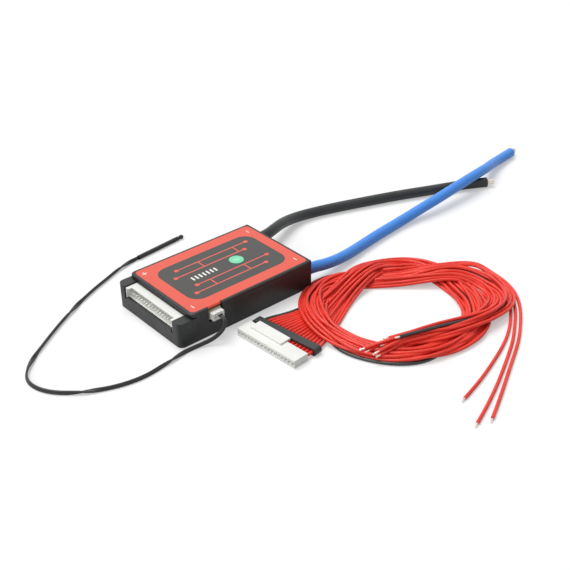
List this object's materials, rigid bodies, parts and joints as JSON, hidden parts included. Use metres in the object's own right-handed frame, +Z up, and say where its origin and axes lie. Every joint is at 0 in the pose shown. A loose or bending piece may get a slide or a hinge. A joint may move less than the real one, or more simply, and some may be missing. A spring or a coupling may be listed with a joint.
{
  "type": "battery management board",
  "caption": "Flat black battery management module with a red label, a long cell-sense socket, two power cables, a temperature lead and its unplugged sense harness.",
  "frame": {"origin": "middle of the case's underside, measured on the case without its cords", "axes": "+X along the case towards the two power cables, -X towards the 17-way socket, -Y towards the temperature socket, +Z up"},
  "size_m": [0.4035, 0.2445, 0.0181],
  "materials": {
    "case_black": "fine moulded texture, satin",
    "label_film": "printed film, soft gloss",
    "sticker_green": "glossy round sticker",
    "board_green": "solder mask",
    "connector_white": "moulded nylon",
    "connector_beige": "moulded nylon",
    "pin_tin": "bright tin plating",
    "chip_black": "epoxy moulding",
    "pad_grey": "soft silicone pad",
    "spreader_aluminium": "milled",
    "tinned_copper": "tinned copper strands",
    "screw_steel": "zinc plated",
    "cable_black": "smooth silicone insulation",
    "cable_blue": "smooth silicone insulation",
    "lead_black": "flat twin lead and shrunk sleeve",
    "band_black": "flat shrunk band",
    "wire_black": "smooth PVC insulation",
    "wire_red": "smooth PVC insulation"
  },
  "bodies": {
    "root": {"b_minus_busbar": "tinned_copper", "b_minus_cable": "cable_blue", "b_minus_cable_end": "tinned_copper", "b_minus_tail": "tinned_copper", "balance_resistors": "chip_black", "base_tray": "case_black", "board_screws": "screw_steel", "charge_transistors": "chip_black", "circuit_board": "board_green", "discharge_transistors": "chip_black", "filter_capacitors": "spreader_aluminium", "heat_spreader": "spreader_aluminium", "inspection_sticker": "sticker_green", "monitor_chip": "chip_black", "ntc_bead": "lead_black", "ntc_contacts": "pin_tin", "ntc_header": "connector_beige", "ntc_header_pins": "pin_tin", "ntc_lead": "lead_black", "ntc_plug": "connector_white", "ntc_sleeve": "lead_black", "p_minus_busbar": "tinned_copper", "p_minus_cable": "cable_black", "p_minus_cable_end": "tinned_copper", "p_minus_tail": "tinned_copper", "sense_coil": "wire_red", "sense_contacts": "pin_tin", "sense_end_1": "wire_red", "sense_end_2": "wire_red", "sense_end_3": "wire_red", "sense_end_tips": "tinned_copper", "sense_header": "connector_white", "sense_header_pins": "pin_tin", "sense_plug": "connector_white", "sense_wire_01": "wire_black", "sense_wire_02": "wire_red", "sense_wire_03": "wire_red", "sense_wire_04": "wire_red", "sense_wire_05": "wire_red", "sense_wire_06": "wire_red", "sense_wire_07": "wire_red", "sense_wire_08": "wire_red", "sense_wire_09": "wire_red", "sense_wire_10": "wire_red", "sense_wire_11": "wire_red", "sense_wire_12": "wire_red", "sense_wire_13": "wire_red", "sense_wire_14": "wire_red", "sense_wire_15": "wire_red", "sense_wire_16": "wire_red", "sense_wire_17": "wire_red", "shunt_resistors": "chip_black", "spreader_screws": "screw_steel", "thermal_pads": "pad_grey", "top_cover": "case_black", "top_label": "label_film", "wire_band": "band_black"}
  },
  "joints": []
}
